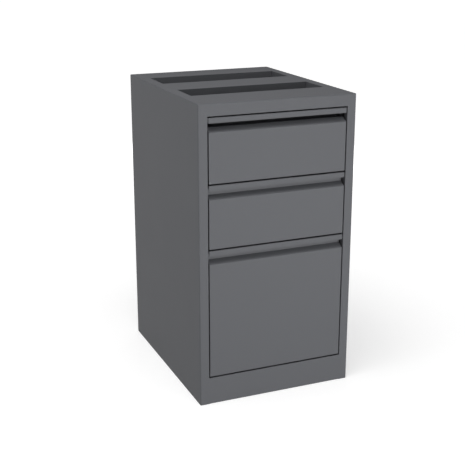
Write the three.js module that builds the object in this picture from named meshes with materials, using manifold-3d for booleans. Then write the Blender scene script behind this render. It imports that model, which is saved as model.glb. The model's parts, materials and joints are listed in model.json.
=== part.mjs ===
// Pedestal cabinet: a free-standing steel drawer pedestal that stands under a worksurface, with
// two box drawers over one file drawer. Millimetres, +Z up. The drawers face -Y, +X is to the
// right of somebody who faces them, and the origin is on the floor under the middle of the case.

import * as THREE from 'three';
import { mergeVertices } from 'three/addons/utils/BufferGeometryUtils.js';
import Module from 'manifold-3d';

const wasm = await Module();
wasm.setup();

// ---------------------------------------------------------------- driving dimensions

const WIDTH = 381;
const DEPTH = 480;
const HEIGHT = 700;

const SHEET = 1; // painted steel of the case and the drawers
const CASE_BEND = 3; // outside radius of the case's folded edges
const FOLD = 0.6; // inside radius of every other fold
const SEAM = 0.3; // gap left between two pieces that touch

const STILE = 21.4; // front post on each side of the drawers
const STILE_RETURN = 15; // how far the post folds back into the case
const SIDE_TOP_RETURN = 26; // side panel's flange along the top
const SIDE_REAR_RETURN = 15;
const SIDE_FLOOR_RETURN = 20;

const TOP_RAIL_FACE = 27.5; // height of the rail over the top drawer
const TOP_RAIL_LEDGE = 12;
const FRONT_RAIL = 109; // front to back along the top: rail, slot, rail, slot, rail
const FRONT_SLOT = 89;
const CROSS_RAIL = 100;
const REAR_SLOT = 97;
const RAIL_FLANGE = 20; // depth of the flanges all round the two slots
const REAR_RAIL_DROP = 15;

const KICK_HEIGHT = 65.4; // base rail under the file drawer
const KICK_LEDGE = 20;
const BACK_FLOOR_RETURN = 18;
const BOTTOM_FLANGE = 15; // bottom panel's flanges, turned down

const REVEAL = 3; // gap round every drawer front
const BOX_FRONT = 145.7; // height of a box drawer's front; the file drawer takes the rest
const PULL_LIP = 12.1; // strip that hangs in front of the finger channel
const PULL_MOUTH = 20.4; // opening under the lip
const PULL_DEPTH = 14.5;
const PULL_RISE = 9.5; // how far the channel's floor climbs towards the back
const TOP_PULL_DEPTH = 38; // the top drawer's channel runs on over the rim of its tray

const TRAY_LENGTH = 420;
const TRAY_LIFT = 8; // drawer bottom over the lower edge of its front
const TRAY_HEM = 7;
const BOX_HEADROOM = 27.7; // from the tray's rim to the top of its front
const FILE_HEADROOM = 47;
const TRAY_BACK_DROP = 12; // a tray's back stops this far below its rim
const TRAY_END_FOLD = 10;

const FILE_RAIL_WIDTH = 4;
const FILE_RAIL_HEIGHT = 20;
const FILE_RAIL_GRIP = 13; // depth of the groove that sits over the tray's side

const SLIDE_LENGTH = 406;
const SLIDE_WIDTH = 12.7;
const SLIDE_HEIGHT = 45.7;
const SLIDE_STEEL = 1.2;
const BALL_SPACE = 3.7; // race between two nested members
const SLIDE_CLEARANCE = 0.8; // between the webs and lips of nested members
const SLIDE_SETBACK = 2; // slide starts this far behind the front post's return
const BOX_SLIDE_LIFT = 34; // slide's centre line over the drawer bottom
const FILE_SLIDE_LIFT = 62;

const UPRIGHT_WIDTH = 32;
const UPRIGHT_STEEL = 1.2;
const UPRIGHT_INSET = 30; // centre of an upright from the end of the slides
const UPRIGHT_SLOT_WIDTH = 10;
const UPRIGHT_SLOT_HEIGHT = 4;
const UPRIGHT_SLOT_PITCH = 25;

const GLIDE_IN_X = 40.5; // glide's centre from the outside of the side panel
const GLIDE_MARGIN = 2; // between a glide's bracket and the front post's return
const GLIDE_STEM = 8; // thread diameter
const GLIDE_FOOT = 32;
const GLIDE_FOOT_HEIGHT = 8;
const STEM_HEADROOM = 5; // above a glide that is screwed right in
const GLIDE_SEAT = 28; // height of the bracket that holds the glide's nut
const BRACKET_STEEL = 2;
const BRACKET_WIDTH = 50;
const NUT_ACROSS_CORNERS = 15;
const NUT_HEIGHT = 6.5;
const STEM_CLEARANCE = 0.3; // between the thread and its nut

// ---------------------------------------------------------------- derived places

const halfWidth = WIDTH / 2;
const frontY = -DEPTH / 2;
const backY = DEPTH / 2;
const wallX = halfWidth - SHEET; // inside of a side panel
const openingX = halfWidth - STILE; // edge of the drawer opening
const roofZ = HEIGHT - SHEET; // underside of the top

const frontHalf = openingX - REVEAL;
const frontDepth = PULL_DEPTH + SHEET;
const openingHeight = HEIGHT - TOP_RAIL_FACE - KICK_HEIGHT;
const fileFront = openingHeight - 2 * BOX_FRONT - 4 * REVEAL;

const mountX = openingX - SEAM; // face of the uprights that carry the slides
const slideX = mountX - SEAM;
const trayHalf = slideX - SLIDE_WIDTH - SEAM;
const trayStart = frontDepth + SEAM; // behind the plane of the fronts
const slideStart = frontY + STILE_RETURN + SLIDE_SETBACK;
const slideMiddle = slideStart + SLIDE_LENGTH / 2;
const bottomZ = KICK_HEIGHT - SHEET - SEAM; // top face of the bottom panel

const boxDrawer = { height: BOX_FRONT, headroom: BOX_HEADROOM, slideLift: BOX_SLIDE_LIFT };
const DRAWERS = [
  { name: 'top_drawer', ...boxDrawer, pullDepth: TOP_PULL_DEPTH },
  { name: 'middle_drawer', ...boxDrawer, pullDepth: PULL_DEPTH },
  {
    name: 'file_drawer',
    height: fileFront,
    headroom: FILE_HEADROOM,
    slideLift: FILE_SLIDE_LIFT,
    pullDepth: PULL_DEPTH,
  },
];
let edge = HEIGHT - TOP_RAIL_FACE;
for (const drawer of DRAWERS) {
  drawer.z = edge - REVEAL - drawer.height;
  drawer.trayHeight = drawer.height - TRAY_LIFT - drawer.headroom;
  drawer.slideZ = drawer.z + TRAY_LIFT + drawer.slideLift;
  edge = drawer.z;
}

// ---------------------------------------------------------------- materials

const paint = { color: 0x6c6d70, roughness: 0.62, metalness: 0.0 };
const zinc = { color: 0xa9adb0, roughness: 0.35, metalness: 0.9 };
const blackPlastic = { color: 0x1d1d1f, roughness: 0.55, metalness: 0.0 };

// ---------------------------------------------------------------- shape helpers

const AXIS_X = new THREE.Vector3(1, 0, 0);
const AXIS_Y = new THREE.Vector3(0, 1, 0);
const AXIS_Z = new THREE.Vector3(0, 0, 1);

function toSolid(geometry) {
  const bare = geometry.clone();
  bare.deleteAttribute('normal');
  bare.deleteAttribute('uv');
  const merged = mergeVertices(bare, 1e-4);
  return new wasm.Manifold(new wasm.Mesh({
    numProp: 3,
    vertProperties: merged.attributes.position.array,
    triVerts: new Uint32Array(merged.index.array),
  }));
}

function toGeometry(solid) {
  const mesh = solid.getMesh();
  const indexed = new THREE.BufferGeometry();
  indexed.setAttribute('position', new THREE.BufferAttribute(mesh.vertProperties, 3));
  indexed.setIndex(new THREE.BufferAttribute(mesh.triVerts, 1));
  const faceted = indexed.toNonIndexed();
  faceted.computeVertexNormals();
  return faceted;
}

const join = (...solids) => solids.reduce((all, next) => all.add(next));
const cut = (solid, ...tools) => tools.reduce((left, tool) => left.subtract(tool), solid);

// A block between two corners, given as pairs of limits along X, Y and Z.
function block([x0, x1], [y0, y1], [z0, z1]) {
  const geometry = new THREE.BoxGeometry(x1 - x0, y1 - y0, z1 - z0);
  geometry.translate((x0 + x1) / 2, (y0 + y1) / 2, (z0 + z1) / 2);
  return toSolid(geometry);
}

const mirrorSpan = (sign, a, b) => (sign > 0 ? [a, b] : [-b, -a]);

const extrude = (outline, depth) => (
  new THREE.ExtrudeGeometry(outline, { depth, bevelEnabled: false, curveSegments: 4 })
);

// An outline drawn in (Y, Z), run along X.
function alongX(outline, x0, x1) {
  const geometry = extrude(outline, x1 - x0);
  geometry.applyMatrix4(new THREE.Matrix4().makeBasis(AXIS_Y, AXIS_Z, AXIS_X));
  geometry.translate(x0, 0, 0);
  return toSolid(geometry);
}

// An outline drawn in (X, Z), run along Y.
function alongY(outline, y0, y1) {
  const geometry = extrude(outline, y1 - y0);
  geometry.applyMatrix4(new THREE.Matrix4().makeBasis(AXIS_X, AXIS_Z, AXIS_Y.clone().negate()));
  geometry.translate(0, y1, 0);
  return toSolid(geometry);
}

// An outline drawn in (X, Y), run along Z.
function alongZ(outline, z0, z1) {
  const geometry = extrude(outline, z1 - z0);
  geometry.translate(0, 0, z0);
  return toSolid(geometry);
}

// The section of a folded sheet. The path runs along one face of the sheet, the metal lies to
// its right, and every corner becomes a bend whose inside radius is `fold`.
function foldedSheet(path, thickness = SHEET, fold = FOLD, steps = 3) {
  const points = path.map(([x, y]) => new THREE.Vector2(x, y));
  const right = (d) => new THREE.Vector2(d.y, -d.x);
  const near = [];
  const far = [];
  points.forEach((point, i) => {
    const into = points[Math.max(i, 1)].clone().sub(points[Math.max(i, 1) - 1]).normalize();
    const last = points.length - 1;
    const out = points[Math.min(i + 1, last)].clone().sub(points[Math.min(i + 1, last) - 1]).normalize();
    const turn = Math.atan2(into.cross(out), into.dot(out));
    if (Math.abs(turn) < 1e-6) {
      near.push(point);
      far.push(point.clone().addScaledVector(right(into), thickness));
      return;
    }
    const side = Math.sign(turn); // +1 bends away from the metal, -1 bends towards it
    const nearRadius = side > 0 ? fold : fold + thickness;
    const start = point.clone().addScaledVector(into, -nearRadius * Math.tan(Math.abs(turn) / 2));
    const centre = start.clone().addScaledVector(right(into), -side * nearRadius);
    const spoke = right(into).multiplyScalar(side);
    for (let k = 0; k <= steps; k += 1) {
      const arm = spoke.clone().rotateAround(new THREE.Vector2(), (turn * k) / steps);
      near.push(centre.clone().addScaledVector(arm, nearRadius));
      far.push(centre.clone().addScaledVector(arm, nearRadius + side * thickness));
    }
  });
  return new THREE.Shape([...near, ...far.reverse()]);
}

// A rectangle whose two upper corners, or all four, are rounded.
function roundedRectangle(x0, x1, y0, y1, radius, allCorners) {
  const shape = new THREE.Shape();
  if (allCorners) {
    shape.absarc(x0 + radius, y0 + radius, radius, Math.PI, Math.PI * 1.5);
    shape.absarc(x1 - radius, y0 + radius, radius, Math.PI * 1.5, Math.PI * 2);
  } else {
    shape.moveTo(x0, y0);
    shape.lineTo(x1, y0);
  }
  shape.absarc(x1 - radius, y1 - radius, radius, 0, Math.PI / 2);
  shape.absarc(x0 + radius, y1 - radius, radius, Math.PI / 2, Math.PI);
  return shape;
}

function addPiece(parent, name, solid, look) {
  const mesh = new THREE.Mesh(toGeometry(solid), new THREE.MeshStandardMaterial(look));
  mesh.name = name;
  parent.add(mesh);
  return mesh;
}

// ---------------------------------------------------------------- case

// The block that the case's outside skin encloses, drawn in by `inset` on every side.
function caseBlock(inset, floorZ) {
  const radius = CASE_BEND - inset;
  const x = halfWidth - inset;
  const y = backY - inset;
  const z = HEIGHT - inset;
  return alongZ(roundedRectangle(-x, x, -y, y, radius, true), floorZ, z)
    .intersect(alongY(roundedRectangle(-x, x, floorZ, z, radius, false), -y, y))
    .intersect(alongX(roundedRectangle(-y, y, floorZ, z, radius, false), -x, x));
}

// One sheet thick all round, open at the floor. Panels and rails are cut out of it, so that
// their rounded edges meet along the seams.
const envelope = caseBlock(0, 0);
const skin = envelope.subtract(caseBlock(SHEET, -SHEET));

function sidePanel(sign) {
  const outer = halfWidth + SHEET;
  const aboveTop = HEIGHT + SHEET;
  const post = block(mirrorSpan(sign, openingX, outer), [frontY - SHEET, 0], [-SHEET, aboveTop]);
  const rear = block(
    mirrorSpan(sign, halfWidth - SIDE_REAR_RETURN, outer),
    [0, backY + SHEET],
    [-SHEET, aboveTop],
  );
  const top = block(
    mirrorSpan(sign, halfWidth - SIDE_TOP_RETURN, outer),
    [frontY + CASE_BEND, backY - CASE_BEND],
    [roofZ - SHEET, aboveTop],
  );
  const topLip = block(
    mirrorSpan(sign, halfWidth - SIDE_TOP_RETURN, halfWidth - SIDE_TOP_RETURN + SHEET),
    [frontY + CASE_BEND, backY - CASE_BEND],
    [HEIGHT - RAIL_FLANGE, roofZ + SHEET / 2],
  );
  const postReturn = block(
    mirrorSpan(sign, openingX, openingX + SHEET),
    [frontY + SHEET / 2, frontY + STILE_RETURN],
    [0, roofZ + SHEET / 2],
  );
  const floorReturn = block(
    mirrorSpan(sign, halfWidth - SIDE_FLOOR_RETURN, halfWidth - SHEET / 2),
    [frontY + SHEET / 2, backY - SHEET / 2],
    [0, SHEET],
  );
  const faces = skin.intersect(join(post, rear, top));
  return join(faces, topLip, postReturn, floorReturn).intersect(envelope);
}

// A rail across the top, with a flange inside the slot at each edge that borders one.
function topRail(y0, y1, flangeEdges) {
  const plateX = halfWidth - SIDE_TOP_RETURN - SEAM;
  const rail = skin.intersect(block([-plateX, plateX], [y0, y1], [roofZ - SHEET, HEIGHT + SHEET]));
  const flanges = flangeEdges.map((side) => {
    const span = side < 0 ? [y0, y0 + SHEET] : [y1 - SHEET, y1];
    return block([-plateX, plateX], span, [HEIGHT - RAIL_FLANGE, roofZ + SHEET / 2]);
  });
  return join(rail, ...flanges);
}

function frontRail() {
  const railX = openingX - SEAM;
  const low = HEIGHT - TOP_RAIL_FACE;
  const face = skin.intersect(
    block([-railX, railX], [frontY - SHEET, frontY + CASE_BEND - SEAM], [low, HEIGHT + SHEET]),
  );
  const ledge = block([-railX, railX], [frontY + SHEET / 2, frontY + TOP_RAIL_LEDGE], [low, low + SHEET]);
  const overBend = frontY + CASE_BEND - SEAM - SHEET / 2;
  return join(face, ledge, topRail(overBend, frontY + FRONT_RAIL, [1]));
}

function rearRail() {
  const railX = halfWidth - SIDE_REAR_RETURN - SEAM;
  const edgeY = backY - CASE_BEND + SEAM;
  const drop = skin.intersect(
    block([-railX, railX], [edgeY, backY + SHEET], [HEIGHT - REAR_RAIL_DROP, HEIGHT + SHEET]),
  );
  const plateStart = frontY + FRONT_RAIL + FRONT_SLOT + CROSS_RAIL + REAR_SLOT;
  return join(drop, topRail(plateStart, edgeY + SHEET / 2, [-1]));
}

function kickRail() {
  const section = foldedSheet([
    [frontY + KICK_LEDGE, 0],
    [frontY, 0],
    [frontY, KICK_HEIGHT],
    [frontY + KICK_LEDGE, KICK_HEIGHT],
  ]);
  return alongX(section, -openingX + SEAM, openingX - SEAM);
}

function backPanel() {
  const outside = backY - SHEET - SEAM;
  const section = foldedSheet([
    [outside, HEIGHT - CASE_BEND],
    [outside, 0],
    [outside - BACK_FLOOR_RETURN, 0],
  ]);
  const panelX = wallX - CASE_BEND;
  const clear = halfWidth - SIDE_FLOOR_RETURN - SEAM;
  const corner = [outside - BACK_FLOOR_RETURN - SHEET, outside - SHEET - FOLD];
  const notches = [-1, 1].map((sign) => (
    block(mirrorSpan(sign, clear, halfWidth), corner, [-SHEET, 2 * SHEET])
  ));
  const overFloor = [-1, 1].map((sign) => (
    block(mirrorSpan(sign, clear, halfWidth), [outside - 3 * SHEET, backY], [-SHEET, SHEET + SEAM])
  ));
  return cut(alongX(section, -panelX, panelX), ...notches, ...overFloor);
}

function bottomPanel() {
  const x = wallX - SEAM;
  const section = foldedSheet([
    [-x, bottomZ - BOTTOM_FLANGE],
    [-x, bottomZ],
    [x, bottomZ],
    [x, bottomZ - BOTTOM_FLANGE],
  ]);
  const behindPost = frontY + STILE_RETURN + SEAM;
  return alongY(section, behindPost, backY - 2 * SHEET - 2 * SEAM);
}

// A channel welded upright against a side panel, open towards it, with hook slots for slides.
function upright() {
  const depth = wallX - SEAM - mountX;
  const half = UPRIGHT_WIDTH / 2;
  const section = foldedSheet([
    [depth, half],
    [0, half],
    [0, -half],
    [depth, -half],
  ].reverse(), UPRIGHT_STEEL);
  const bottom = bottomZ + SEAM;
  const top = HEIGHT - RAIL_FLANGE - SEAM;
  const slots = [];
  for (let z = bottom + UPRIGHT_SLOT_PITCH; z < top - UPRIGHT_SLOT_PITCH / 2; z += UPRIGHT_SLOT_PITCH) {
    slots.push(block(
      [-SHEET, depth / 2],
      [-UPRIGHT_SLOT_WIDTH / 2, UPRIGHT_SLOT_WIDTH / 2],
      [z, z + UPRIGHT_SLOT_HEIGHT],
    ));
  }
  return cut(alongZ(section, bottom, top), ...slots);
}

// ---------------------------------------------------------------- levelling glides

const seatTop = GLIDE_SEAT + BRACKET_STEEL;
const glideLength = bottomZ - SHEET - STEM_HEADROOM;
const glideX = halfWidth - GLIDE_IN_X;
const glideY = backY - STILE_RETURN - GLIDE_MARGIN - BRACKET_WIDTH / 2;

function disc(radius, z0, z1, sides) {
  const geometry = new THREE.CylinderGeometry(radius, radius, z1 - z0, sides);
  geometry.rotateX(Math.PI / 2);
  geometry.translate(0, 0, (z0 + z1) / 2);
  return toSolid(geometry);
}

// An angle welded inside the side panel, with a nut on it. Drawn for the right side, about the
// glide's own axis.
function glideBracket() {
  const wall = GLIDE_IN_X - SHEET - SEAM;
  const inner = -GLIDE_FOOT / 2;
  const section = foldedSheet([
    [wall, bottomZ - BOTTOM_FLANGE - SEAM],
    [wall, GLIDE_SEAT],
    [inner, GLIDE_SEAT],
  ], BRACKET_STEEL, BRACKET_STEEL);
  const angle = alongY(section, -BRACKET_WIDTH / 2, BRACKET_WIDTH / 2);
  const nut = disc(NUT_ACROSS_CORNERS / 2, seatTop - BRACKET_STEEL / 2, seatTop + NUT_HEIGHT, 6);
  const bore = disc(GLIDE_STEM / 2 + STEM_CLEARANCE, 0, seatTop + 2 * NUT_HEIGHT, 20);
  return cut(join(angle, nut), bore);
}

function glide() {
  const foot = GLIDE_FOOT / 2;
  const stem = GLIDE_STEM / 2;
  const profile = [
    [0, 0],
    [foot - 1, 0],
    [foot, 1],
    [foot, 3],
    [foot * 0.8, 6],
    [stem + 3, GLIDE_FOOT_HEIGHT],
    [stem, GLIDE_FOOT_HEIGHT + 1],
    [stem, glideLength - 1],
    [stem - 1, glideLength],
    [0, glideLength],
  ].map(([r, z]) => new THREE.Vector2(r, z));
  const geometry = new THREE.LatheGeometry(profile, 20);
  geometry.rotateX(Math.PI / 2);
  return toSolid(geometry);
}

// ---------------------------------------------------------------- slides

// Three nested channels. Each is drawn in (X, Z) with X = 0 on the case's side and
// X = SLIDE_WIDTH on the drawer's side, and is centred along Y.
function slideMember(kind) {
  const lipX = SLIDE_WIDTH - SLIDE_STEEL - SLIDE_CLEARANCE;
  const webX = SLIDE_STEEL + SLIDE_CLEARANCE;
  const step = SLIDE_STEEL + BALL_SPACE;
  const half = SLIDE_HEIGHT / 2 - { cabinet: 0, intermediate: step, drawer: 2 * step }[kind];
  const channel = (web, lip) => [[lip, -half], [web, -half], [web, half], [lip, half]];
  const paths = {
    cabinet: channel(0, lipX),
    intermediate: channel(webX, lipX),
    drawer: channel(SLIDE_WIDTH, webX + SLIDE_STEEL + SLIDE_CLEARANCE).reverse(),
  };
  return alongY(foldedSheet(paths[kind], SLIDE_STEEL), -SLIDE_LENGTH / 2, SLIDE_LENGTH / 2);
}

// ---------------------------------------------------------------- drawers

// Each drawer is drawn about the middle of its front's lower edge, in the plane of the fronts.

// The channel's floor climbs from the top of the face, and may then run level to its back wall.
function drawerFront(height, pullDepth) {
  const faceTop = height - PULL_LIP - PULL_MOUTH;
  const floorZ = faceTop + PULL_RISE;
  const level = pullDepth > PULL_DEPTH ? [[pullDepth, floorZ]] : [];
  const section = foldedSheet([
    [frontDepth, 0],
    [0, 0],
    [0, faceTop],
    [PULL_DEPTH, floorZ],
    ...level,
    [pullDepth, height - SHEET],
    [SHEET, height - SHEET],
    [SHEET, height - PULL_LIP],
  ]);
  const returns = [-1, 1].map((sign) => block(
    mirrorSpan(sign, frontHalf - SHEET, frontHalf),
    [SHEET / 2, frontDepth],
    [SHEET / 2, faceTop - SHEET],
  ));
  return join(alongX(section, -frontHalf, frontHalf), ...returns);
}

function tray(height, hemmed) {
  const hem = hemmed ? TRAY_HEM : 0;
  const path = [
    [-trayHalf, height],
    [-trayHalf, 0],
    [trayHalf, 0],
    [trayHalf, height],
  ];
  if (hem) {
    path.unshift([-trayHalf + hem, height]);
    path.push([trayHalf - hem, height]);
  }
  return alongY(foldedSheet(path.reverse()), trayStart, trayStart + TRAY_LENGTH);
}

// The tray's inner front and its back stand between the sides, each with a foot along the
// bottom and a stiffening fold along its rim.
function trayEnd(height, fold) {
  const base = SHEET + SEAM;
  const section = foldedSheet([
    [fold, base],
    [0, base],
    [0, height],
    [fold, height],
  ]);
  const x = trayHalf - SHEET - SEAM - FOLD;
  return alongX(section, -x, x);
}

// A plastic channel pushed over the rim of the file drawer's side, for hanging folders.
function fileRail() {
  const clear = SEAM + TRAY_END_FOLD + SEAM;
  const half = FILE_RAIL_WIDTH / 2;
  const grip = SHEET / 2 + SEAM;
  const outline = new THREE.Shape([
    new THREE.Vector2(-half, -FILE_RAIL_GRIP),
    new THREE.Vector2(-grip, -FILE_RAIL_GRIP),
    new THREE.Vector2(-grip, SEAM),
    new THREE.Vector2(grip, SEAM),
    new THREE.Vector2(grip, -FILE_RAIL_GRIP),
    new THREE.Vector2(half, -FILE_RAIL_GRIP),
    new THREE.Vector2(half, FILE_RAIL_HEIGHT - FILE_RAIL_GRIP),
    new THREE.Vector2(-half, FILE_RAIL_HEIGHT - FILE_RAIL_GRIP),
  ]);
  return alongY(outline, trayStart + clear, trayStart + TRAY_LENGTH - clear);
}

// ---------------------------------------------------------------- assembly

const SIDES = { left: -1, right: 1 };
const ENDS = { front: -1, rear: 1 };

const cabinet = new THREE.Group();
const caseGroup = new THREE.Group();
cabinet.add(caseGroup);

for (const [side, sign] of Object.entries(SIDES)) {
  addPiece(caseGroup, `${side}_side_panel`, sidePanel(sign), paint);
}
addPiece(caseGroup, 'back_panel', backPanel(), paint);
addPiece(caseGroup, 'bottom_panel', bottomPanel(), paint);
addPiece(caseGroup, 'base_kick_rail', kickRail(), paint);
addPiece(caseGroup, 'top_front_rail', frontRail(), paint);
const crossStart = frontY + FRONT_RAIL + FRONT_SLOT;
addPiece(caseGroup, 'top_cross_rail', topRail(crossStart, crossStart + CROSS_RAIL, [-1, 1]), paint);
addPiece(caseGroup, 'top_rear_rail', rearRail(), paint);

// A piece on the left is the right-hand one turned half round.
function placeOnSide(mesh, sign, x, y, z) {
  mesh.position.set(sign * x, y, z);
  mesh.rotation.z = sign > 0 ? 0 : Math.PI;
}

const uprightPlaces = {
  front: slideStart + UPRIGHT_INSET,
  rear: slideStart + SLIDE_LENGTH - UPRIGHT_INSET,
};
for (const [side, sign] of Object.entries(SIDES)) {
  for (const [end, y] of Object.entries(uprightPlaces)) {
    const mesh = addPiece(caseGroup, `${end}_${side}_upright`, upright(), paint);
    placeOnSide(mesh, sign, mountX, y, 0);
  }
  for (const [end, facing] of Object.entries(ENDS)) {
    const bracket = addPiece(caseGroup, `${end}_${side}_glide_bracket`, glideBracket(), zinc);
    placeOnSide(bracket, sign, glideX, facing * glideY, 0);
    const foot = addPiece(cabinet, `${end}_${side}_glide`, glide(), blackPlastic);
    foot.position.set(sign * glideX, facing * glideY, 0);
  }
}

for (const drawer of DRAWERS) {
  const group = new THREE.Group();
  group.position.set(0, frontY, drawer.z);
  cabinet.add(group);

  const filing = drawer.name === 'file_drawer';
  const rim = drawer.trayHeight;
  const endHeight = rim - SHEET - SEAM;
  const body = new THREE.Group();
  body.position.z = TRAY_LIFT;
  group.add(body);

  addPiece(group, `${drawer.name}_front`, drawerFront(drawer.height, drawer.pullDepth), paint);
  addPiece(body, `${drawer.name}_tray`, tray(rim, !filing), paint);
  const inner = addPiece(body, `${drawer.name}_inner_front`, trayEnd(endHeight, TRAY_END_FOLD), paint);
  inner.position.y = trayStart + SEAM;
  const backHeight = endHeight - TRAY_BACK_DROP;
  const back = addPiece(body, `${drawer.name}_back`, trayEnd(backHeight, TRAY_END_FOLD), paint);
  back.position.y = trayStart + TRAY_LENGTH - SEAM;
  back.rotation.z = Math.PI;

  for (const [side, sign] of Object.entries(SIDES)) {
    if (filing) {
      const rail = addPiece(body, `${drawer.name}_${side}_folder_rail`, fileRail(), blackPlastic);
      rail.position.set(sign * (trayHalf - SHEET / 2), 0, rim);
    }
    for (const kind of ['cabinet', 'intermediate', 'drawer']) {
      const name = `${drawer.name}_${side}_slide_${kind}_member`;
      const member = addPiece(cabinet, name, slideMember(kind), zinc);
      placeOnSide(member, -sign, -slideX, slideMiddle, drawer.slideZ);
    }
  }
}

export default cabinet;
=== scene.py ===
# %% [markdown]
# # A steel drawer pedestal
# The cabinet is bent from steel sheet, welded, and sprayed with a matt grey powder. The design
# of every panel, rail, drawer and slide comes in as a fixed frame, in metres, with the floor at
# zero and the drawers facing -Y. This lesson gives that frame its finish, and adds what is too
# fine for the frame: the grooves of the slides with their balls and cages, the screws, the
# levers and end stops, and the threads of the glides.

# %% Load the frame
import json
import math

import bpy
import numpy as np
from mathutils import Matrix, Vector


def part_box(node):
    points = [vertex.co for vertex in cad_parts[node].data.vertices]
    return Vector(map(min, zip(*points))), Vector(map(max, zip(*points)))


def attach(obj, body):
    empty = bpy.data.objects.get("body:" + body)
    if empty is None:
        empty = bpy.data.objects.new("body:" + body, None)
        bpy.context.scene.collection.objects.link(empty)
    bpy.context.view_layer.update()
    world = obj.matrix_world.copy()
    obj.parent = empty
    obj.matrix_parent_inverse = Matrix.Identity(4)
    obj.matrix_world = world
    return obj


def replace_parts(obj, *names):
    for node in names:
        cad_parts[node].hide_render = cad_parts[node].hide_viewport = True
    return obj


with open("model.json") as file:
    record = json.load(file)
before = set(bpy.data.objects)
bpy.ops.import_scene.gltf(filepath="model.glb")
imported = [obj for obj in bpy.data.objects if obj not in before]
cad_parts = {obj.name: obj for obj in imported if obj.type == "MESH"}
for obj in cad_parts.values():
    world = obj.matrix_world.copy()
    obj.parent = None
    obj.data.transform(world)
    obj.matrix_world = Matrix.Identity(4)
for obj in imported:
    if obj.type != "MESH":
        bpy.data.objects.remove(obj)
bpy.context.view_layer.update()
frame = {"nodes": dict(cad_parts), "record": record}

record = frame["record"]
MM = 0.001

# %% [markdown]
# ## Places to build from
# Nothing is measured twice. The hardware sits on the panels, so its places are read from the
# boxes of the pieces that it fastens, and it follows them if the frame is ever drawn anew.
# Each drawer has one entry here: the boxes of its front, its tray and its slide, and the
# height of the slide's middle.

# %% Measure the drawers and the case
DRAWERS = ("top_drawer", "middle_drawer", "file_drawer")
SIDES = {"left": -1, "right": 1}
ENDS = ("front", "rear")


def span(node):
    """Lowest and highest corner of a frame piece, as two arrays."""
    low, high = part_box(node)
    return np.array(low), np.array(high)


def drawer_places(name):
    """What the later cells need to know of one drawer."""
    front_low, front_high = span(f"{name}_front")
    tray_low, tray_high = span(f"{name}_tray")
    slide_low, slide_high = span(f"{name}_right_slide_drawer_member")
    case_low, case_high = span(f"{name}_right_slide_cabinet_member")
    return {
        "front": (front_low, front_high),
        "tray": (tray_low, tray_high),
        "slide": (case_low, case_high),
        "slide_z": (slide_low[2] + slide_high[2]) / 2,
    }


places = {name: drawer_places(name) for name in DRAWERS}
for name, place in places.items():
    height = (place["front"][1] - place["front"][0])[2]
    print(f"{name}: front {height / MM:.1f} mm high, slides at {place['slide_z'] / MM:.1f} mm")

# %% [markdown]
# ## Shader sums in plain Python
# A finish is mostly arithmetic on a few noise patterns. Wired by hand, even a short sum takes
# a dozen lines that nobody can read back. `Wire` wraps an output socket, so that
# `0.5 + 0.1 * grain` adds the Math nodes by itself, and `Finish.add` makes any other node: its
# settings first, then the values or wires of its sockets.

# %% A small language for finishes
class Wire:
    """An output socket that can stand in a sum."""

    def __init__(self, finish, socket):
        self.finish = finish
        self.socket = socket

    def clamped(self):
        """The wire held between 0 and 1."""
        return self.finish.add("ShaderNodeClamp", {}, [self, 0.0, 1.0])


def math_operator(operation, reflected):
    """What Python calls for wire + other, or for other + wire when reflected."""
    def method(self, other):
        pair = [other, self] if reflected else [self, other]
        return self.finish.add("ShaderNodeMath", {"operation": operation}, pair)
    return method


OPERATORS = {"add": "ADD", "sub": "SUBTRACT", "mul": "MULTIPLY"}
for symbol, operation in OPERATORS.items():
    setattr(Wire, f"__{symbol}__", math_operator(operation, False))
    setattr(Wire, f"__r{symbol}__", math_operator(operation, True))


class Finish:
    """One material, with its Principled shader ready to take values and wires."""

    def __init__(self, name):
        self.material = bpy.data.materials.new(name)
        self.material.use_nodes = True
        self.tree = self.material.node_tree
        self.shader = self.tree.nodes["Principled BSDF"]
        self.place = self.add("ShaderNodeTexCoord", output="Object")

    def add(self, kind, settings=None, values=(), output=0):
        """One node: its settings first, then its sockets. Gives the wire of one output."""
        node = self.tree.nodes.new(kind)
        for key, value in (settings or {}).items():
            setattr(node, key, value)
        self.fill(node, values)
        return Wire(self, node.outputs[output])

    def fill(self, node, values):
        """Links the wires and writes the plain values, by the sockets' names or in order."""
        pairs = values.items() if isinstance(values, dict) else enumerate(values)
        for key, value in pairs:
            if isinstance(value, Wire):
                self.tree.links.new(value.socket, node.inputs[key])
            else:
                node.inputs[key].default_value = value

    def noise(self, per_metre, detail=2.0, roughness=0.5, stretch=(1, 1, 1)):
        """Noise from 0 to 1 with features of about 1 / per_metre, squeezed by `stretch`."""
        where = self.add("ShaderNodeMapping", {}, {"Vector": self.place, "Scale": stretch})
        values = {"Vector": where, "Scale": per_metre, "Detail": detail, "Roughness": roughness}
        return self.add("ShaderNodeTexNoise", {}, values)

    def tint(self, colour, lightness):
        """The colour, made lighter or darker by a wire that is 1 where it stays."""
        shade = self.add("ShaderNodeCombineXYZ", {}, [lightness, lightness, lightness])
        settings = {"operation": "MULTIPLY"}
        return self.add("ShaderNodeVectorMath", settings, [tuple(colour), shade])

    def bump(self, height, distance, strength=1.0):
        values = {"Height": height, "Distance": distance, "Strength": strength}
        return self.add("ShaderNodeBump", {}, values, output="Normal")

    def finish(self, **sockets):
        """Fills the shader's own sockets, where base_color stands for Base Color."""
        for key, value in sockets.items():
            title = key.replace("_", " ").title().replace("Ior", "IOR")
            self.fill(self.shader, {title: value})
        return self.material


print("shader language ready")

# %% [markdown]
# ## Powder coat
# The powder melts on the hot steel and flows out into a skin about 80 microns thick. It never
# gets quite flat: long soft waves remain, which painters call orange peel, and a satin grey
# like this one carries a fine dry grain on top. Both are bump. The melt also varies a little
# from place to place, which moves the roughness and, by a hair, the lightness.

# %% Mix the grey powder coat
POWDER_GREY = (0.0735, 0.0755, 0.082)


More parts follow.
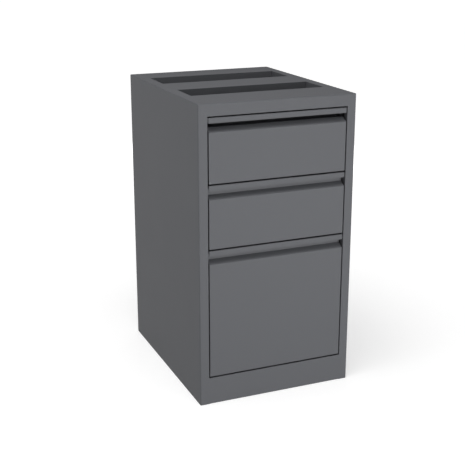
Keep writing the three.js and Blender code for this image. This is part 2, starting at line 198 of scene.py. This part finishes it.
def powder_coat(name, colour):
    coat = Finish(name)
    grain = coat.noise(2400, detail=3.0, roughness=0.6)
    peel = coat.noise(330, detail=1.0)
    melt = coat.noise(9, detail=3.0)
    lightness = 0.965 + 0.05 * melt + 0.02 * grain
    return coat.finish(
        base_color=coat.tint(colour, lightness),
        roughness=0.5 + 0.1 * grain + 0.06 * melt,
        specular_ior_level=0.18,
        normal=coat.bump(0.55 * grain + peel, 0.00005, 0.6),
    )


grey_coat = powder_coat("grey powder coat", POWDER_GREY)
print("made", grey_coat.name)

# %% [markdown]
# ## Zinc-plated steel
# Slides and brackets are rolled from strip and plated with bright zinc. The strip keeps fine
# lines along its length, which runs front to back, so the noise is stretched along Y. The
# plating itself is cloudy, in patches of a few centimetres.

# %% Plate the slides and brackets
def zinc_plate(name, colour):
    zinc = Finish(name)
    lines = zinc.noise(1800, detail=2.0, stretch=(1, 0.02, 1))
    cloud = zinc.noise(60, detail=4.0, roughness=0.6)
    return zinc.finish(
        base_color=zinc.tint(colour, 0.86 + 0.12 * cloud + 0.08 * lines),
        metallic=1.0,
        roughness=0.24 + 0.14 * cloud + 0.1 * lines,
        normal=zinc.bump(lines, 0.00002, 0.5),
    )


zinc_steel = zinc_plate("bright zinc plate", (0.40, 0.41, 0.42))
ball_steel = zinc_plate("polished ball steel", (0.55, 0.55, 0.56))
print("made", zinc_steel.name, "and", ball_steel.name)

# %% [markdown]
# ## Moulded plastic and rubber
# The folder rails, the release levers and the feet of the glides are moulded, and the end
# stops are rubber. A mould leaves a fine leather-like texture, which breaks up the highlight
# without showing as colour, so it is bump. Rubber is the same thing, only duller.

# %% Mould the plastics
def moulded(name, colour, shine, relief):
    plastic = Finish(name)
    texture = plastic.noise(1500, detail=2.0)
    wear = plastic.noise(120, detail=3.0)
    return plastic.finish(
        base_color=plastic.tint(colour, 0.9 + 0.2 * wear),
        roughness=shine + 0.12 * texture,
        normal=plastic.bump(texture, relief, 0.5),
    )


black_plastic = moulded("black moulded plastic", (0.016, 0.016, 0.018), 0.42, 0.00004)
black_rubber = moulded("black rubber", (0.012, 0.012, 0.012), 0.68, 0.00006)
print("made", black_plastic.name, "and", black_rubber.name)

# %% [markdown]
# ## Dress the frame
# Every piece of the frame names the slot of its finish. The frame's edges are as sharp as
# its drawing, but a press brake and a coat of paint leave none that can cut a finger. Merging
# the loose triangles and bevelling what turns by more than 40 degrees gives each edge a
# radius of about a third of a millimetre, which is what catches the light.

# %% Give each frame piece its finish, and the painted ones their eased edges
FINISH_OF_SLOT = {"paint": grey_coat, "zinc_steel": zinc_steel, "black_plastic": black_plastic}
EDGE_RADIUS = 0.35 * MM
SHARP_TURN = math.radians(40)


def ease_edges(piece, radius):
    weld = piece.modifiers.new("merge the triangles", "WELD")
    weld.merge_threshold = 0.002 * MM
    bevel = piece.modifiers.new("ease the edges", "BEVEL")
    bevel.width = radius
    bevel.segments = 2
    bevel.limit_method = "ANGLE"
    bevel.angle_limit = SHARP_TURN
    bevel.use_clamp_overlap = True


for entry in record["subparts"]:
    piece = frame["nodes"][entry["node"]]
    piece.data.materials.clear()
    piece.data.materials.append(FINISH_OF_SLOT[entry["material_slot"]])
    if entry["material_slot"] == "paint":
        ease_edges(piece, EDGE_RADIUS)
print("dressed", len(record["subparts"]), "pieces")

# %% [markdown]
# ## How the hardware is drawn
# Everything that is turned, drawn or rolled is a stack of rings: a screw head is circles of
# changing radius, a cage is one outline repeated along the slide, a weld is a small oblong
# carried along its seam. So one function skins any stack of rings, and the rest is numpy.

# %% Skin a stack of rings
def skin(rings):
    """Faces over rings[i, j]: (i, j), (i, j+1), (i+1, j+1), (i+1, j), with j taken modulo the
    number of sides, and one flat face over each end ring. They are turned to face outwards:
    the volume, a sixth of the sum of a . (b x c) over a fan of triangles, must be positive."""
    count, sides = rings.shape[:2]
    i, j = np.meshgrid(np.arange(count - 1), np.arange(sides), indexing="ij")
    k = (j + 1) % sides
    quads = np.stack([i * sides + j, i * sides + k, (i + 1) * sides + k, (i + 1) * sides + j], -1)
    quads = quads.reshape(-1, 4)
    ends = np.stack([np.arange(sides)[::-1], (count - 1) * sides + np.arange(sides)])
    points = rings.reshape(-1, 3)
    middle = points.mean(axis=0)
    a, b, c, d = ((points - middle)[quads[:, n]] for n in range(4))
    volume = np.einsum("ij,ij->", a, np.cross(b, c)) + np.einsum("ij,ij->", a, np.cross(c, d))
    if volume < 0:
        quads, ends = quads[:, ::-1], ends[:, ::-1]
    return points, quads, ends


def hardware(name, stacks, finish, body, sharp=35):
    """One mesh from many stacks of rings, already in place, that rides on a body. Its faces
    are shaded smooth, but for edges that turn by more than `sharp` degrees."""
    points, faces, start = [], [], 0
    for rings in stacks:
        vertices, quads, ends = skin(np.asarray(rings, float))
        points.append(vertices)
        faces += (quads + start).tolist() + (ends + start).tolist()
        start += len(vertices)
    mesh = bpy.data.meshes.new(name)
    mesh.from_pydata(np.concatenate(points).tolist(), [], faces)
    mesh.polygons.foreach_set("use_smooth", np.ones(len(faces), bool))
    mesh.set_sharp_from_angle(angle=math.radians(sharp))
    mesh.materials.append(finish)
    piece = bpy.data.objects.new(name, mesh)
    bpy.context.scene.collection.objects.link(piece)
    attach(piece, body)
    return piece


def turned(radius, height, sides=24):
    """Rings of a turned shape about +Z: (r cos t, r sin t, z), where r may vary with t."""
    t = np.arange(sides) * 2 * np.pi / sides
    r = np.broadcast_to(np.asarray(radius, float).reshape(len(height), -1), (len(height), sides))
    z = np.broadcast_to(np.asarray(height, float)[:, None], r.shape)
    return np.stack([r * np.cos(t), r * np.sin(t), z], -1)


def pointed(rings, axis, place):
    """Rings about +Z, turned to point along X, Y or Z and moved to a place: (a, b, c) goes
    to a u + b v + c w + place, where w is the axis, u the next one round, and v = w x u."""
    w = np.array(axis, float)
    u = np.roll(w, 1)
    v = np.cross(w, u)
    return rings[..., :1] * u + rings[..., 1:2] * v + rings[..., 2:] * w + np.array(place)


print("rings ready")

# %% [markdown]
# ## Welds at the case's corners
# The side panels are one sheet each, folded round to the front as the posts. The rails across
# the front, the base and the top are welded in between them, then ground flush and painted, so
# that nothing of the joint shows. The frame leaves a hairline there, which a join of the
# panels' meshes would close as well, but then they'd no longer be separate pieces. So each
# weld is a piece of its own: an oblong a little wider than its seam, carried along it and over
# the rounded edge, level with the sheet to a hundredth of a millimetre.

# %% Fill the seams
SEAM_HALF = 0.15 * MM
WELD_HALF = 0.75 * MM
WELD_DEPTH = 0.55 * MM
CASE_BEND = 3 * MM
BEND_STEPS = 9
# where two welds meet, one lies a hair higher, so that no two faces share a plane
PROUD = 0.012 * MM
PROUD_ACROSS = 1.3 * PROUD
PROUD_ALONG = 1.6 * PROUD


def weld(path, outward, across, proud=PROUD):
    """An oblong along a path: p + a * across + d * outward, with a = -h, h, h, -h and
    d = proud, proud, -depth, -depth."""
    a = np.array([-1, 1, 1, -1])[None, :, None] * WELD_HALF
    d = np.array([proud, proud, -WELD_DEPTH, -WELD_DEPTH])[None, :, None]
    return path[:, None] + a * np.asarray(across, float) + d * np.asarray(outward, float)[:, None]


def straight(start, end, outward, across, proud=PROUD):
    """The same from one point straight to another."""
    path = np.linspace(start, end, 2)
    return weld(path, np.tile(outward, (2, 1)), across, proud)


def over_the_edge(x, y_face, z_low, y_top, facing):
    """Up a face, round the bend (y = c + r sin t, z = e + r cos t) and onto the top."""
    _, high = span("left_side_panel")
    t = np.linspace(np.pi / 2, 0, BEND_STEPS)
    centre = np.array([x, y_face - facing * CASE_BEND, high[2] - CASE_BEND])
    out = np.stack([np.zeros_like(t), facing * np.sin(t), np.cos(t)], -1)
    bend = centre + CASE_BEND * out
    path = np.concatenate([[(x, y_face, z_low)], bend, [(x, y_top, high[2])]])
    outward = np.concatenate([out[:1], out, out[-1:]])
    return weld(path, outward, (1, 0, 0))


def case_welds():
    """Both posts, both ends of each rail on top, and the corners where these meet."""
    low, high = span("left_side_panel")
    rail_low, rail_high = span("top_front_rail")
    _, base_high = span("base_kick_rail")
    cross_low, cross_high = span("top_cross_rail")
    rear_low, rear_high = span("top_rear_rail")
    front, back, top = low[1], high[1], high[2]
    bend_front = front + CASE_BEND - SEAM_HALF
    bend_back = back - CASE_BEND + SEAM_HALF
    right, rearward, up, forward = (1, 0, 0), (0, 1, 0), (0, 0, 1), (0, -1, 0)
    welds = []
    for s in SIDES.values():
        post_x = s * (rail_high[0] + SEAM_HALF)
        inner_x = s * (cross_high[0] + SEAM_HALF)
        rear_x = s * (rear_high[0] + SEAM_HALF)
        welds += [
            over_the_edge(post_x, front, rail_low[2], bend_front, -1),
            over_the_edge(rear_x, back, rear_low[2], bend_back, 1),
            straight((post_x, front, 0), (post_x, front, base_high[2]), forward, right),
        ]
        for x, y in ((post_x, bend_front), (rear_x, bend_back)):
            ends = (x, y, top), (inner_x, y, top)
            welds.append(straight(*ends, up, rearward, PROUD_ACROSS))
        runs = [(bend_front, rail_high[1]), (cross_low[1], cross_high[1]), (rear_low[1], bend_back)]
        for start, end in runs:
            ends = (inner_x, start, top), (inner_x, end, top)
            welds.append(straight(*ends, up, right, PROUD_ALONG))
    return welds


welds = case_welds()
hardware("case_welds", welds, grey_coat, "case")
print("welds:", len(welds))

# %% [markdown]
# ## Rolled slide members
# The frame draws each slide as three plain nested channels. The real ones are rolled, with a
# groove along each flange for the balls: the case's member cups the outer balls from outside,
# the middle one carries them and cups the inner balls, and the drawer's member runs on those.
# Each is half a centre line of the strip, from the middle of its web to its lip, mirrored,
# rounded off, and given the strip's thickness. Rolling gives a strip the same section all
# along, so one outline at each end is enough.

# %% Roll the members
STRIP = 1.2 * MM
# centre lines (x, z) in millimetres, with x counted from the case's side of the slide
RACEWAYS = {
    "cabinet": [
        (0.6, 0), (0.6, 12), (0.6, 20.3), (1.2, 21.4), (2.6, 21.6), (3.5, 22.1), (5, 22.3),
        (6.5, 22.1), (7.5, 21.1), (7.8, 19.6),
    ],
    "intermediate": [
        (2.6, 0), (2.6, 10), (2.6, 17), (2.9, 17.9), (3.6, 17.9), (4.4, 17.4), (5.2, 17.25),
        (6.2, 17.5), (7.7, 17.4), (9.2, 16.8), (9.9, 15.8),
    ],
    "drawer": [
        (10.9, 0), (10.9, 4.5), (12.1, 5.8), (12.1, 9), (12.1, 12), (11.5, 13.1), (10.3, 13.3),
        (9.2, 12.7), (7.7, 12.4), (6.4, 12.7), (5.5, 13.2), (4.8, 12.7), (4.7, 11.4),
    ],
}


def rounded(line, rounds=3):
    """Cuts every corner at a quarter and three quarters, and again, keeping both ends."""
    for _ in range(rounds):
        quarters = line[:-1] * 0.75 + line[1:] * 0.25, line[:-1] * 0.25 + line[1:] * 0.75
        line = np.concatenate([line[:1], np.stack(quarters, 1).reshape(-1, 2), line[-1:]])
    return line


def strip_outline(half):
    """The centre line c with its mirror image, thickened to c + T/2 n out and c - T/2 n back."""
    half = np.array(half) * MM
    line = rounded(np.concatenate([half[:0:-1] * (1, -1), half]))
    run = np.gradient(line, axis=0)
    normal = np.column_stack([run[:, 1], -run[:, 0]]) / np.linalg.norm(run, axis=1)[:, None]
    return np.concatenate([line + normal * STRIP / 2, (line - normal * STRIP / 2)[::-1]])


def roll_members(name, place):
    """Each outline is carried straight along Y, from one end of the slide to the other."""
    low, high = place["slide"]
    bodies = {"cabinet": "case", "intermediate": f"{name}_intermediates", "drawer": name}
    for kind, half in RACEWAYS.items():
        outline = strip_outline(half)
        for side, s in SIDES.items():
            node = f"{name}_{side}_slide_{kind}_member"
            x = s * (high[0] - outline[:, 0])
            z = place["slide_z"] + outline[:, 1]
            ends = [np.stack([x, np.full_like(x, y), z], -1) for y in (low[1], high[1])]
            member = hardware(f"{node}_rolled", [ends], zinc_steel, bodies[kind])
            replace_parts(member, node)


for name, place in places.items():
    roll_members(name, place)
print("rolled", len(places) * len(SIDES) * len(RACEWAYS), "members")

# %% [markdown]
# ## Balls and cages
# Between two nested members of a slide run two rows of steel balls, one above and one below.
# A thin pressed channel, the cage, keeps the balls apart. A slide has two cages: the outer one
# between the case's member and the middle one, the inner one between the middle member and the
# drawer's. The balls are many and tiny, so each has few faces, and smooth shading rounds it.

# %% Fill the slides
BALL_RADIUS = 1.75 * MM
BALL_PITCH = 15 * MM
BALLS_IN_ROW = 13
BALL_RINGS = 7
BALL_SIDES = 10
CAGE_LENGTH = (BALLS_IN_ROW - 0.5) * BALL_PITCH
CAGE_STEEL = 0.4 * MM
# from the front end of the slide to its cages, and from there to the first ball
CAGE_INSET = 8 * MM
BALL_INSET = 3.5 * MM
# kind, body it stays with, height of its race over the middle, then how far its balls, web and
# lip are from the case's side
CAGES = (
    ("outer", "case", 19.8 * MM, 5.0 * MM, 1.4 * MM, 6.9 * MM),
    ("inner", None, 14.9 * MM, 7.7 * MM, 3.45 * MM, 9.1 * MM),
)


def cage_outline(race, web, lip):
    """Corners (x, z) of a thin channel whose flanges lie in the two races."""
    outer, inner = race + CAGE_STEEL / 2, race - CAGE_STEEL / 2
    upper = [(lip, outer), (web, outer)]
    lower = [(x, -z) for x, z in reversed(upper)]
    inside = [(lip, -inner), (web + CAGE_STEEL, -inner), (web + CAGE_STEEL, inner), (lip, inner)]
    return np.array(upper + lower + inside)


def ball():
    """Rings of a small ball: r = R sin t, z = R cos t."""
    t = np.linspace(0.06, np.pi - 0.06, BALL_RINGS)
    return turned(BALL_RADIUS * np.sin(t), BALL_RADIUS * np.cos(t), BALL_SIDES)


def fill_slides(name, place):
    """Both cages with their balls, on either side of one drawer."""
    low, high = place["slide"]
    runs = (low[1] + CAGE_INSET, low[1] + CAGE_INSET + CAGE_LENGTH)
    balls_at = np.arange(BALLS_IN_ROW) * BALL_PITCH + runs[0] + BALL_INSET
    made = 0
    for kind, keeper, race, ball_x, web, lip in CAGES:
        body = keeper or f"{name}_intermediates"
        cages, balls = [], []
        outline = cage_outline(race, web, lip)
        for s in SIDES.values():
            x = s * (high[0] - outline[:, 0])
            z = place["slide_z"] + outline[:, 1]
            cages.append([np.stack([x, np.full_like(x, y), z], -1) for y in runs])
            for row in (-race, race):
                centres = [(s * (high[0] - ball_x), y, place["slide_z"] + row) for y in balls_at]
                balls += [ball() + np.array(centre) for centre in centres]
        made += len(balls)
        hardware(f"{name}_{kind}_cages", cages, zinc_steel, body)
        hardware(f"{name}_{kind}_balls", balls, ball_steel, body, sharp=80)
    return made


print("balls:", sum(fill_slides(name, place) for name, place in places.items()))

# %% [markdown]
# ## Screws
# Button-head screws hold each tray to its two slides, and the drawer's outer front to the
# tray's inner one. They stand out of the sheet and catch the light, so they are real heads and
# not a bump: a low dome round a hexagonal socket, which is a ring whose radius follows
# r = a / cos(t mod 60 - 30 degrees).

# %% Put in the screws
SCREW_HEAD = 3.8 * MM
SCREW_DOME = 2.4 * MM
SOCKET_HALF = 1.35 * MM
SCREW_SIDES = 24
TRAY_SHEET = 1 * MM
SCREWS_PER_SLIDE = 4
# how far the first and last screw of a slide are from the tray's front and back
SLIDE_SCREW_INSETS = (40 * MM, 50 * MM)
# the screws of the front: out from the middle, and in from the inner front's ends
FRONT_SCREW_OUT = 105 * MM
FRONT_SCREW_IN = 24 * MM


def button_head():
    """Rings up the dome (R cos b, H sin b), over its chamfer and down into the socket."""
    t = np.arange(SCREW_SIDES) * 2 * np.pi / SCREW_SIDES
    hexagon = SOCKET_HALF / np.cos((t % (np.pi / 3)) - np.pi / 6)
    bow = np.linspace(0.15, 1.15, 6)
    dome = np.column_stack([SCREW_HEAD * np.cos(bow), SCREW_DOME * np.sin(bow)])
    radius = [np.full(SCREW_SIDES, r) for r in (SCREW_HEAD, *dome[:, 0])]
    radius += [hexagon * 1.06, hexagon, hexagon]
    height = [0, *dome[:, 1], 2.2 * MM, 2.1 * MM, 0.8 * MM]
    return turned(np.array(radius), np.array(height), SCREW_SIDES)


def drawer_screws(name, place):
    """A row on the inside of each tray wall, and two pairs on the inner front."""
    tray_low, tray_high = place["tray"]
    inner_low, inner_high = span(f"{name}_inner_front")
    first, last = tray_low[1] + SLIDE_SCREW_INSETS[0], tray_high[1] - SLIDE_SCREW_INSETS[1]
    heads = []
    for s in SIDES.values():
        wall = s * (tray_high[0] - TRAY_SHEET)
        for y in np.linspace(first, last, SCREWS_PER_SLIDE):
            heads.append(pointed(button_head(), (-s, 0, 0), (wall, y, place["slide_z"])))
        for z in (inner_low[2] + FRONT_SCREW_IN, inner_high[2] - FRONT_SCREW_IN):
            seat = (s * FRONT_SCREW_OUT, inner_low[1] + TRAY_SHEET, z)
            heads.append(pointed(button_head(), (0, 1, 0), seat))
    hardware(f"{name}_screws", heads, zinc_steel, name)
    return len(heads)


print("screws:", sum(drawer_screws(name, place) for name, place in places.items()))

# %% [markdown]
# ## Release levers and end stops
# A springy plastic lever inside the drawer's member lets the drawer come off its slides. At
# the far end a rubber block, pressed over the end of the case's member, takes the knock when
# the drawer is pushed home. Both are soft curves, which are easier to write as a section that
# changes along Y than to model by hand.

# %% Add levers and stops
LEVER_LENGTH = 62 * MM
LEVER_BOW = 3 * MM
LEVER_HALF = 0.7 * MM
LEVER_STEPS = 17
STOP_HALF = (4.6 * MM, 3 * MM, 10 * MM)
STOP_SIDES = 32
STOP_RINGS = 11
# from the case's side of the slide, from its front end, and down from its middle
LEVER_AT = (8 * MM, 70 * MM, 1 * MM)
# from the case's side of the slide, and behind its rear end
STOP_AT = (5.6 * MM, 3.4 * MM)


def lever(x, y, z):
    """A blade along Y: its half width falls from 4 to 2 mm, and it bows by B sin(pi u)."""
    u = np.linspace(0, 1, LEVER_STEPS)
    half = (4 - 2 * u ** 2) * MM
    bow = LEVER_BOW * np.sin(np.pi * u)
    side = np.array([-1, 1, 1, -1]) * LEVER_HALF
    edge = np.array([-1, -1, 1, 1])
    xs = np.broadcast_to(x + side, (len(u), len(side)))
    ys = np.broadcast_to((y + LEVER_LENGTH * u)[:, None], xs.shape)
    zs = z + bow[:, None] + half[:, None] * edge
    return np.stack([xs, ys, zs], -1)


def end_stop(x, y, z):
    """A rounded block: |a|^4 + |b|^4 = 1 in section, drawn in by sqrt(1 - v^4) at both ends."""
    t = np.arange(STOP_SIDES) * 2 * np.pi / STOP_SIDES
    c, s = np.cos(t), np.sin(t)
    a = np.sign(c) * np.abs(c) ** 0.5
    b = np.sign(s) * np.abs(s) ** 0.5
    v = np.linspace(-0.98, 0.98, STOP_RINGS)
    scale = np.sqrt(1 - v ** 4)[:, None]
    xs = x + STOP_HALF[0] * a * (0.75 + 0.25 * scale)
    ys = np.broadcast_to((y + STOP_HALF[1] * v)[:, None], xs.shape)
    zs = z + STOP_HALF[2] * b * (0.85 + 0.15 * scale)
    return np.stack([xs, ys, zs], -1)


def levers_and_stops(name, place):
    """The levers ride out with the drawer, and the stops stay in the case."""
    low, high = place["slide"]
    z = place["slide_z"]
    lever_x, stop_x = high[0] - LEVER_AT[0], high[0] - STOP_AT[0]
    lever_y, stop_y = low[1] + LEVER_AT[1], high[1] + STOP_AT[1]
    levers = [lever(s * lever_x, lever_y, z - LEVER_AT[2]) for s in SIDES.values()]
    stops = [end_stop(s * stop_x, stop_y, z) for s in SIDES.values()]
    hardware(f"{name}_release_levers", levers, black_plastic, name)
    hardware(f"{name}_end_stops", stops, black_rubber, "case", sharp=50)


for name, place in places.items():
    levers_and_stops(name, place)
print("levers and stops on", len(places), "drawers")

# %% [markdown]
# ## Levelling glides
# Each glide is an M8 stud moulded into a plastic foot. The thread is a ridge that climbs one
# pitch per turn: the radius at height z and angle t is a triangle wave of z / pitch - t / 2 pi.
# It runs out smoothly at the top of the stud, and its lower end is hidden in the foot. A
# thread as bump would leave a smooth outline, and here the outline is what shows.

# %% Turn the glides
THREAD_PITCH = 1.25 * MM
THREAD_DEPTH = 0.6 * MM
STUD_RADIUS = 3.95 * MM
STUD_SIDES = 24
STUD_START = 9.2 * MM
FOOT_RADIUS_MM = 16
FOOT_SIDES = 48


def stud(top):
    """r = R - D * (w * |2 frac(z / p - t / 2 pi) - 1| + 1 - w), where w falls from 1 to 0
    over the last pitch."""
    z = np.arange(STUD_START, top, THREAD_PITCH / 8)
    t = np.arange(STUD_SIDES) * 2 * np.pi / STUD_SIDES
    phase = (z[:, None] / THREAD_PITCH - t / (2 * np.pi)) % 1
    ramp = np.clip((top - z) / THREAD_PITCH, 0, 1)[:, None]
    r = STUD_RADIUS - THREAD_DEPTH * (np.abs(2 * phase - 1) * ramp + 1 - ramp)
    cap = np.full((1, STUD_SIDES), STUD_RADIUS - 1.4 * THREAD_DEPTH)
    return turned(np.concatenate([r, cap]), np.append(z, top), STUD_SIDES)


def foot(radius):
    """Soft steps (radius, height) in millimetres, from the floor to the collar of the stud."""
    profile = np.array([
        (radius - 1.6, 0.0), (radius - 0.7, 0.25), (radius - 0.15, 1.0), (radius, 2.0),
        (radius - 0.3, 3.0), (radius - 1.6, 4.2), (radius - 4.0, 5.4), (radius - 7.0, 6.4),
        (8.3, 7.3), (7.5, 8.0), (7.2, 9.4), (6.6, 10.0), (4.2, 10.0),
    ])
    return turned(profile[:, 0] * MM, profile[:, 1] * MM, FOOT_SIDES)


def turn_glide(node):
    """A stud and a foot in place of one plain glide of the frame."""
    low, high = span(node)
    body = f"{node}_body"
    middle = (low + high) / 2 * (1, 1, 0)
    threaded = [stud(high[2]) + middle]
    moulded_foot = [foot(FOOT_RADIUS_MM) + middle]
    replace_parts(hardware(f"{node}_stud", threaded, zinc_steel, body), node)
    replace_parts(hardware(f"{node}_foot", moulded_foot, black_plastic, body), node)


for side in SIDES:
    for end in ENDS:
        turn_glide(f"{end}_{side}_glide")
print("glides:", len(SIDES) * len(ENDS))

# %% [markdown]
# ## A white floor
# The cabinet stands on a plain white floor that runs to the horizon. It glows a little of its
# own accord, as a lit table does, which keeps the shadows on it faint. The glow grows with the
# distance r from the cabinet, so that a thin shadow is left where the case meets the floor.

# %% Floor
FLOOR_HALF = 30.0
FLOOR_GREY = 0.45
NEAR_GLOW = 0.6
FAR_GLOW = 0.87
NEAR, FAR = 0.4, 2.6


def white_paper():
    """Glow = near + (far - near) * (r - near distance) / (far distance - near distance)."""
    paper = Finish("white floor")
    settings = {"operation": "LENGTH"}
    reach = paper.add("ShaderNodeVectorMath", settings, [paper.place], output="Value")
    far = ((reach - NEAR) * (1 / (FAR - NEAR))).clamped()
    glow = NEAR_GLOW + (FAR_GLOW - NEAR_GLOW) * far
    return paper.finish(
        base_color=(FLOOR_GREY, FLOOR_GREY, FLOOR_GREY, 1),
        roughness=0.9,
        emission_color=paper.add("ShaderNodeCombineXYZ", {}, [glow, glow, glow]),
        emission_strength=1.0,
    )


def lay_floor():
    """One square, which belongs to the studio and not to the cabinet."""
    corners = [(-1, -1), (1, -1), (1, 1), (-1, 1)]
    mesh = bpy.data.meshes.new("floor")
    mesh.from_pydata([(x * FLOOR_HALF, y * FLOOR_HALF, 0) for x, y in corners], [], [(0, 1, 2, 3)])
    mesh.materials.append(white_paper())
    floor = bpy.data.objects.new("floor", mesh)
    bpy.context.scene.collection.objects.link(floor)


lay_floor()
print("floor:", 2 * FLOOR_HALF, "m square")

# %% [markdown]
# ## Sky and lights
# A low soft light in front makes the drawer fronts the brightest faces and reaches the back of
# the finger channels under their lips. One overhead, a little forward and to the left, lights
# the top and shades the channels' floors from front to back, and a weak low one lights the
# back. The rest comes from an even sky with a brighter band along the horizon, and the tones
# are shown as they are, without a film look.

# %% Sky and lights
def soft_box(name, watts, size, place, target):
    """A rectangle of light at a place, turned to face a target."""
    lamp = bpy.data.lights.new(name, "AREA")
    lamp.energy = watts
    lamp.shape = "RECTANGLE"
    lamp.size, lamp.size_y = size
    holder = bpy.data.objects.new(name, lamp)
    bpy.context.scene.collection.objects.link(holder)
    holder.location = place
    aim = np.array(target, float) - np.array(place, float)
    yaw = math.atan2(-aim[0], aim[1])
    tilt = math.atan2(math.hypot(aim[0], aim[1]), -aim[2])
    holder.rotation_euler = (tilt, 0, yaw)
    print(f"{name}: {watts} W")


def pale_sky(overhead, horizon, band=0.14, fade=0.1):
    """A white dome as strong as `horizon` up to the height `band` of the direction, and as
    strong as `overhead` from `band + fade` on, with a smooth step in between."""
    world = bpy.data.worlds.new("pale sky")
    bpy.context.scene.world = world
    world.use_nodes = True
    tree = world.node_tree
    direction = tree.nodes.new("ShaderNodeTexCoord")
    parts = tree.nodes.new("ShaderNodeSeparateXYZ")
    height = tree.nodes.new("ShaderNodeMapRange")
    height.interpolation_type = "SMOOTHSTEP"
    limits = {"From Min": band, "From Max": band + fade, "To Min": horizon, "To Max": overhead}
    for key, value in limits.items():
        height.inputs[key].default_value = value
    tree.links.new(direction.outputs["Generated"], parts.inputs[0])
    tree.links.new(parts.outputs["Z"], height.inputs["Value"])
    background = tree.nodes["Background"]
    background.inputs["Color"].default_value = (1, 1, 1, 1)
    tree.links.new(height.outputs[0], background.inputs["Strength"])


bpy.context.scene.view_settings.view_transform = "Standard"
pale_sky(overhead=0.3, horizon=0.7)
soft_box("front soft box", 41.5, (1.6, 0.5), (0.5, -2.3, 0.16), (0, -0.24, 0.48))
soft_box("overhead soft box", 42, (1.2, 1.2), (-0.55, -0.5, 2.4), (0, 0, 0.6))
soft_box("rear soft box", 13, (1.4, 0.5), (1.2, 2.3, 0.34), (0.1, 0.24, 0.4))

# %% [markdown]
# ## Camera
# The camera stands to the left of the drawers and a little above the top, so that the front,
# the left side and the top all show. From 2.4 m away, with a 75 mm lens, the uprights stay
# nearly parallel, as they do to somebody who stands back to look at a piece of furniture.

# %% Camera
LENS = 75.28
CAMERA_PLACE = (-0.90705, -2.13364, 1.05199)
CAMERA_TILT = 72.633
CAMERA_TURN = -22.797

lens = bpy.data.cameras.new("camera")
lens.lens = LENS
lens.sensor_width = 36
camera = bpy.data.objects.new("camera", lens)
bpy.context.scene.collection.objects.link(camera)
camera.location = CAMERA_PLACE
camera.rotation_euler = (math.radians(CAMERA_TILT), 0, math.radians(CAMERA_TURN))
bpy.context.scene.camera = camera
print(f"camera: {LENS} mm, turned {CAMERA_TURN} degrees")
